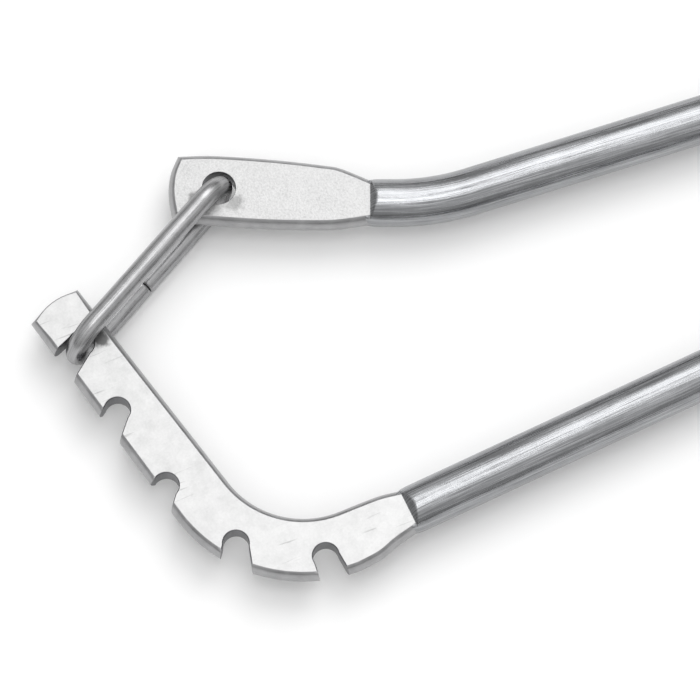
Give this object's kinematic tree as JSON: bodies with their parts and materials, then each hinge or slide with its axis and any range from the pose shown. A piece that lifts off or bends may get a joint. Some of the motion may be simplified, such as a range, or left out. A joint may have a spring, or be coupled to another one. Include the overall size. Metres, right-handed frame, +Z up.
{
  "type": "case back opener",
  "caption": "Crossed-arm watch case back opener: pins in the jaws enter the back's slots, and a wire link on a notched head holds the handles closed.",
  "frame": {"origin": "on the pivot axis, at the underside of the pivot screw's head, which is the plane the tool rests on", "axes": "+X along the tool from the lock end to the jaws, +Z up along the pivot axis, +Y to the eyed handle's side"},
  "size_m": [0.2892, 0.0774, 0.0169],
  "materials": {
    "arm_plating": "bright plated or bare steel, satin on the flats and drawn bright on the bars",
    "link_wire": "drawn bright wire",
    "fastener_steel": "turned and plated",
    "hardened_steel": "hardened, dark polished"
  },
  "bodies": {
    "notched_arm": {"notched_arm": "arm_plating", "pivot_screw": "fastener_steel", "lap_washer": "fastener_steel", "nut_washer": "fastener_steel", "pivot_nut": "fastener_steel", "left_jaw_pin": "hardened_steel", "left_set_screw": "hardened_steel"},
    "eyed_arm": {"eyed_arm": "arm_plating", "right_jaw_pin": "hardened_steel", "right_set_screw": "hardened_steel"},
    "lock_link": {"lock_link": "link_wire"}
  },
  "joints": [
    {"name": "handle_squeeze", "type": "hinge", "parent": "notched_arm", "child": "eyed_arm", "pos_m": [0, 0, 0.00688], "axis": [0, 0, 1], "range_deg": [0, 8]},
    {"name": "link_swing", "type": "hinge", "parent": "eyed_arm", "child": "lock_link", "pos_m": [-0.18926, 0.03869, 0.00688], "axis": [0, 0, 1], "range_deg": [-40.5, 0]}
  ],
  "couplings": [
    {"joint": "link_swing", "follows": "handle_squeeze", "ratio": -5.05}
  ]
}
